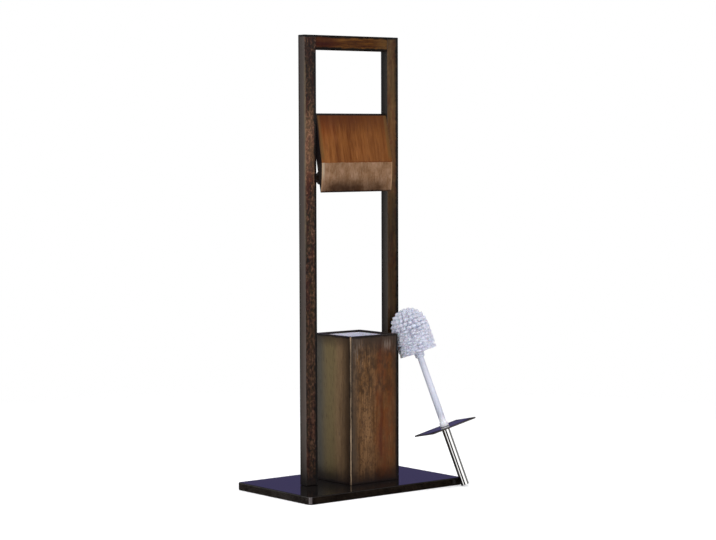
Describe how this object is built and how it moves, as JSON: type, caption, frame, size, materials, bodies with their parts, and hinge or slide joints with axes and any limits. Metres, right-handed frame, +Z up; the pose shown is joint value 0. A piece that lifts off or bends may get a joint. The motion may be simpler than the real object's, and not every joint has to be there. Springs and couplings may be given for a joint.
{
  "type": "toilet butler stand",
  "caption": "Free-standing wooden bathroom stand with a covered paper roller, a box with a lift-out cup, and a toilet brush that leans beside the box.",
  "frame": {"origin": "centre of the base plate's underside, on the floor", "axes": "+Z up, +X along the frame to the side where the brush leans, front towards -Y"},
  "size_m": [0.3773, 0.2561, 0.82],
  "materials": {
    "dark_lacquer": "gloss lacquer, almost black",
    "post_wood": "stained reddish brown, satin varnish",
    "beech": "plain turned beech",
    "flap_wood": "orange-brown stain, satin varnish",
    "box_wood": "mid-brown stain, satin varnish",
    "peg_wood": "dark stain",
    "dark_plastic": "dark moulded plastic",
    "white_plastic": "white moulded plastic",
    "zinc_steel": "zinc-plated steel",
    "polished_steel": "polished stainless steel"
  },
  "bodies": {
    "stand": {"base_plate": "dark_lacquer", "left_post": "post_wood", "right_post": "post_wood", "top_rail": "post_wood", "left_dowel_upper": "beech", "left_dowel_lower": "beech", "right_dowel_upper": "beech", "right_dowel_lower": "beech", "left_post_screw_outer": "zinc_steel", "left_post_screw_inner": "zinc_steel", "right_post_screw_outer": "zinc_steel", "right_post_screw_inner": "zinc_steel", "box_screw_front": "zinc_steel", "box_screw_rear": "zinc_steel", "left_flap_pin": "zinc_steel", "right_flap_pin": "zinc_steel", "left_roller_peg": "peg_wood", "right_roller_peg": "peg_wood", "box_front_wall": "box_wood", "box_right_wall": "box_wood", "box_rear_wall": "box_wood", "box_left_wall": "box_wood", "box_floor": "box_wood"},
    "flap": {"flap": "flap_wood"},
    "roller_outer": {"roller_outer_half": "dark_plastic", "roller_spring": "zinc_steel"},
    "roller_inner": {"roller_inner_half": "dark_plastic"},
    "cup": {"insert_cup": "white_plastic"},
    "brush": {"handle_tube": "polished_steel", "handle_end_cap": "polished_steel", "handle_insert": "zinc_steel", "threaded_stud": "zinc_steel", "brush_lid": "dark_lacquer", "brush_stem": "white_plastic", "brush_head": "white_plastic"}
  },
  "joints": [
    {"name": "flap_lift", "type": "hinge", "parent": "stand", "child": "flap", "pos_m": [0, 0, 0.6735], "axis": [-1, 0, 0], "range_deg": [0, 164]},
    {"name": "roller_spin", "type": "hinge", "parent": "stand", "child": "roller_outer", "pos_m": [0, 0, 0.5655], "axis": [1, 0, 0], "continuous": true},
    {"name": "roller_squeeze", "type": "slide", "parent": "roller_outer", "child": "roller_inner", "axis": [1, 0, 0], "range_m": [0, 0.008], "stiffness_N_per_m": 150, "springref_m": -0.02, "deforming": ["roller_spring"]},
    {"name": "cup_lift", "type": "slide", "parent": "stand", "child": "cup", "axis": [0, 0, 1], "range_m": [0, 0.26]},
    {"name": "brush_lift", "type": "slide", "parent": "stand", "child": "brush", "axis": [0, 0, 1], "range_m": [0, 0.2]}
  ]
}
